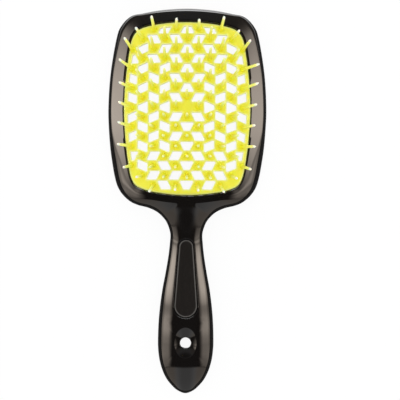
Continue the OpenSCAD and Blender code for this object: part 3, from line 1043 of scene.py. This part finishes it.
def pin_roots():
    """Points under the plate's face that know the direction of their pin."""
    places, leans, outer = [], [], []
    for x, y in pin_places:
        # square to the arch across the head, and to a flatter one along it
        across, along = math.asin(x / (arch_r + face_raise)), math.asin(y / pin_fan_r)
        square = Vector((math.cos(along) * math.sin(across), math.sin(along),
                         math.cos(along) * math.cos(across)))
        i, j = round(x / pitch_x), round(y / pitch_y)
        loose = wobble.uniform(-loose_by, loose_by, 2)
        inward = -math.copysign(stand_back[abs(i)], x)
        ahead = lean_up + lean_more * float(ease((j + 1.5) / 2))
        shift = bent.get((i, j), (inward + lean_right + loose[0], ahead + loose[1]))
        lean = (square * pin_l + Vector((*shift, 0))).normalized()
        foot = Vector((x, pad_y + y, float(arch_height(x, face_raise))))
        places.append((foot - lean * root_sink) * MM)
        leans.append(lean)
        outer.append((i, j) in bent)
    mesh = bpy.data.meshes.new("pin_roots")
    mesh.from_pydata(places, [], [])
    layer = mesh.attributes.new("lean", "FLOAT_VECTOR", "POINT")
    layer.data.foreach_set("vector", [v for lean in leans for v in lean])
    mesh.attributes.new("outer", "FLOAT", "POINT").data.foreach_set("value", outer)
    return put_in_scene("pin_roots", mesh)


roots = pin_roots()
print("roots of pins:", len(roots.data.vertices), "of which bent:", len(bent))

# %% Write the tree that makes the pins
pin_steps, pin_sides = 20, 12
pin_sizes = {"Length": (pin_l + root_sink) * MM, "Root Radius": pin_root_d / 2 * MM,
             "Tip Radius": pin_tip_d / 2 * MM, "Flare": 0.55 * MM, "Flare Height": 0.8 * MM}


def pin_tree(finish):
    """A node tree that sets a pin on every point of a mesh."""
    tree = bpy.data.node_groups.new("pins", "GeometryNodeTree")
    tree.interface.new_socket("Geometry", in_out="INPUT", socket_type="NodeSocketGeometry")
    for title, value in pin_sizes.items():
        socket = tree.interface.new_socket(title, in_out="INPUT", socket_type="NodeSocketFloat")
        socket.default_value = value
    tree.interface.new_socket("Geometry", in_out="OUTPUT", socket_type="NodeSocketGeometry")
    graph = Graph(tree)
    entry = tree.nodes.new("NodeGroupInput")
    take = {s.name: Socket(graph, s) for s in entry.outputs if s.name}
    line = graph.node("GeometryNodeCurvePrimitiveLine", {}, {"End": (0, 0, 1)})
    line = graph.node("GeometryNodeResampleCurve", {}, {"Curve": line, "Count": pin_steps + 1})
    share = graph.node("GeometryNodeSplineParameter", output="Factor")
    eased = share * share * (3 - 2 * share)
    height = eased * take["Length"]
    spot = graph.node("ShaderNodeCombineXYZ", {}, {"Z": height})
    line = graph.node("GeometryNodeSetPosition", {}, {"Geometry": line, "Position": spot})
    line = graph.node("GeometryNodeStoreNamedAttribute", {"data_type": "FLOAT"}, {
        "Geometry": line, "Name": "along", "Value": eased})
    body = take["Root Radius"] + (take["Tip Radius"] - take["Root Radius"]) * eased
    rest = graph.node("ShaderNodeClamp", {}, {"Value": 1 - height / take["Flare Height"]})
    flare = take["Flare"] * rest * rest
    left = graph.node("ShaderNodeClamp", {}, {
        "Value": (take["Length"] - height) / take["Tip Radius"]})
    # a hair over 1, so that the last ring of the round tip has some width and can be capped
    dome = (1.0002 - (1 - left) * (1 - left)).root()
    profile = graph.node("GeometryNodeCurvePrimitiveCircle", {"mode": "RADIUS"}, {
        "Resolution": pin_sides, "Radius": 1.0})
    tube = graph.node("GeometryNodeCurveToMesh", {}, {
        "Curve": line, "Profile Curve": profile, "Fill Caps": True,
        "Scale": body * dome + flare})
    lean_at = graph.node("GeometryNodeInputNamedAttribute", {"data_type": "FLOAT_VECTOR"}, {
        "Name": "lean"})
    turn = graph.node("FunctionNodeAlignRotationToVector", {"axis": "Z"}, {"Vector": lean_at})
    placed = graph.node("GeometryNodeInstanceOnPoints", {}, {
        "Points": take["Geometry"], "Instance": tube, "Rotation": turn})
    real = graph.node("GeometryNodeRealizeInstances", {}, {"Geometry": placed})
    smooth = graph.node("GeometryNodeSetShadeSmooth", {}, {"Geometry": real})
    done = graph.node("GeometryNodeSetMaterial", {}, {"Geometry": smooth, "Material": finish})
    graph.node("NodeGroupOutput", {}, {"Geometry": done})
    return tree


print("named inputs of the tree:", ", ".join(pin_sizes))

# %% Turn the tree's result into a plain mesh
def grow_pins(name, roots, tree):
    """The pins as a mesh of their own, in place of their roots."""
    modifier = roots.modifiers.new("pins", "NODES")
    modifier.node_group = tree
    for socket in tree.interface.items_tree:
        if socket.in_out == "INPUT" and socket.name in pin_sizes:
            modifier[socket.identifier] = pin_sizes[socket.name]
    grown = roots.evaluated_get(bpy.context.evaluated_depsgraph_get())
    mesh = bpy.data.meshes.new_from_object(grown)
    bpy.data.objects.remove(roots)
    print(name, len(mesh.polygons), "faces")
    return put_in_scene(name, mesh)


print("the pins are grown when their finish is mixed, because the tree sets it")

# %% [markdown]
# ## Inlay
# A soft, dull inlay sits in the handle for the thumb. Its outline is two arcs joined by
# straight sides, and its face is a leaning cylinder. Rings that shrink from the outline to the
# middle line fill it without a seam. It is a little smaller than its seat, which leaves a dark
# gap, and the rings of its round edge carry an attribute that paints a lighter line on them, a
# painted highlight.

# %% Shape the inlay
inlay_trim, inlay_round = 0.4, 0.35


def mould_inlay(name):
    """Rings from the middle line outwards, down the round edge and back underneath."""
    places = np.arange(0, len(inlay_spine), 2.0)
    rings, bead = [], []

    def ring(grow, share=1.0, drop=0.0, lower=0.0, light=0.0):
        plan = inlay_line(places, grow, share)
        rings.append(np.column_stack([plan, inlay_face(*plan.T, lower) - drop]))
        bead.extend([light] * len(places))

    for share in (0.12, 0.3, 0.45, 0.58):
        ring(0, share)
    # the rings at the round edge carry a painted highlight
    for inwards, light in ((1.2, 0), (0.74, 0), (0.66, 1)):
        ring(-inlay_trim - inwards, light=light)
    for out, down in quarter_round(inlay_round, (0, *fine_angles)):
        ring(-inlay_trim - out, drop=down, light=float(out > 0))
    for share in (1, 0.6, 0.25):
        ring(-inlay_trim * share, share, lower=inlay_t)
    count = len(places)
    faces = ring_faces(0, count, len(rings))
    faces += [list(range(count))[::-1], list(range(len(bead) - count, len(bead)))]
    return solid(name, np.vstack(rings), faces, {"bead": bead}, 60)


inlay = mould_inlay("thumb_inlay")

# %% [markdown]
# ## Finishes
# The shells are black plastic polished by the mould, which is never quite flat. The pad is
# yellow nylon that lets a little light in. Its colour carries painted shade, deeper and darker in
# its hollows and round the pins' roots, and painted light, paler on its thin edges and the walls
# of the vents. The pins take the pad's shaded yellow at their roots; the outer ones are painted
# lighter and fade to a painted cream highlight at the tips, and the inner ones are painted dimmer.
# The inlay is dull black rubber with a fine grain. All patterns are noise in the piece's own
# coordinates, so nothing slides in other views.

# %% Mix the black plastic
def finish(name, base, rough, bump, **constants):
    """A material whose colour is a function. The other two are noise: the roughness has its
    lowest value, scale, detail and range, and the bump its height in mm, scale and detail."""
    material = bpy.data.materials.new(name)
    graph = Graph(material)
    place = graph.node("ShaderNodeTexCoord", output="Object")
    lowest, scale, detail, spread = rough
    inputs = {"Base Color": base(graph, place),
              "Roughness": lowest + graph.noise(place, scale, detail) * spread}
    height, scale, detail = bump
    inputs["Normal"] = graph.node("ShaderNodeBump", {}, {
        "Strength": 1.0, "Distance": height * MM, "Height": graph.noise(place, scale, detail)})
    inputs.update({title.replace("_", " "): value for title, value in constants.items()})
    shader = graph.node("ShaderNodeBsdfPrincipled", {}, inputs)
    graph.node("ShaderNodeOutputMaterial", {}, {"Surface": shader})
    return material


def black_base(graph, place):
    cloud = graph.noise(place, 90, 3)
    return graph.mix(cloud, (0.0042, 0.0034, 0.0031), (0.0060, 0.0050, 0.0046))


gloss, swell = (0.035, 260, 4, 0.03), (0.012, 70, 1)
gloss_black = finish("gloss_black_plastic", black_base, gloss, swell, IOR=1.5)
print("mixed", gloss_black.name)

# %% Mix the yellow nylon
satin, grain_scale, grain_detail = (0.33, 900, 3, 0.16), 2600, 2


def yellow_base(graph, place):
    # away from the rims the closed cells are painted deeper and darker, as shade; the rims stay
    # paler
    pocket, root = graph.attribute("pocket"), graph.attribute("root")
    cloud = graph.noise(place, 160, 3)
    rib = graph.mix(cloud, (0.74, 0.76, 0.14), (0.78, 0.79, 0.19))
    shade_yellow = graph.mix(cloud, (0.80, 0.77, 0.045), (0.83, 0.79, 0.07))
    # painted shade, more orange, round the pins' roots
    root_shade = graph.mix(root, shade_yellow, (0.85, 0.77, 0.02))
    face = graph.mix(pocket, rib, root_shade)
    # painted light pales the thin edges and the vents' walls
    return graph.mix(graph.attribute("thin"), face, (0.94, 0.96, 0.50))


yellow_nylon = finish("yellow_nylon", yellow_base, satin, (0.02, grain_scale, grain_detail),
                      Subsurface_Weight=0.12, Subsurface_Scale=0.0015, Specular_IOR_Level=0.25)


def pin_base(graph, place):
    along = graph.attribute("along")
    # inner pins are painted dimmer and greener, as shade; outer pins are painted lighter, with a
    # painted cream highlight at the tips
    dimmed_inner = graph.node("ShaderNodeValToRGB", {"stops": [
        (0.0, (0.87, 0.81, 0.03)), (0.45, (0.90, 0.88, 0.13)),
        (0.90, (0.88, 0.92, 0.30)), (0.97, (0.92, 0.95, 0.42))]}, {"Fac": along})
    outer = graph.node("ShaderNodeValToRGB", {"stops": [
        (0.0, (0.85, 0.80, 0.03)), (0.10, (0.88, 0.86, 0.08)), (0.45, (0.93, 0.95, 0.20)),
        (0.90, (0.98, 0.99, 0.32)), (0.97, (1.0, 1.0, 0.88))]}, {"Fac": along})
    return graph.mix(graph.attribute("outer"), dimmed_inner, outer)


pin_nylon = finish("pin_nylon", pin_base, satin, (0.01, grain_scale, grain_detail),
                   Subsurface_Weight=0.2, Subsurface_Scale=0.002, Specular_IOR_Level=0.08)
print("mixed", yellow_nylon.name, "and", pin_nylon.name)

# %% Mix the rubber
def rubber_base(graph, place):
    # a painted highlight lightens the round edge
    cloud, bead = graph.noise(place, 700, 4), graph.attribute("bead")
    dark = graph.mix(cloud, (0.0060, 0.0048, 0.0042), (0.0095, 0.0078, 0.0068))
    return graph.mix(bead, dark, (0.080, 0.076, 0.071))


dull = (0.52, 1500, 3, 0.2)
dull_rubber = finish("dull_rubber", rubber_base, dull, (0.03, grain_scale, grain_detail),
                     Specular_IOR_Level=0.12)
print("mixed", dull_rubber.name)

# %% [markdown]
# ## Dressing
# A dressed model is only of use if a program can tell which fine piece stands for which solid.
# So each piece takes the place of one solid of the packed brush and rides on its only body.
# The pins are grown here, because their tree sets the finish.

# %% Hand the pieces to the frame
def dress(piece, slot, finish, *nodes):
    """Hand a finished piece to the frame in place of its CAD nodes."""
    piece.data.materials.clear()
    piece.data.materials.append(finish)
    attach(piece, "root")
    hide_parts(*nodes)


pins = grow_pins("bristle_pins_round", roots, pin_tree(pin_nylon))
dress(front_shell, "front_shell", gloss_black, "front_shell")
dress(back_shell, "back_shell", gloss_black, "back_shell")
dress(plate, "vent_plate", yellow_nylon, "vent_plate")
dress(pins, "bristle_pins", pin_nylon, "bristle_pins")
dress(inlay, "handle_inlay", dull_rubber, "handle_inlay")
print("handed over:", ", ".join(p.name for p in (front_shell, back_shell, plate, pins, inlay)))
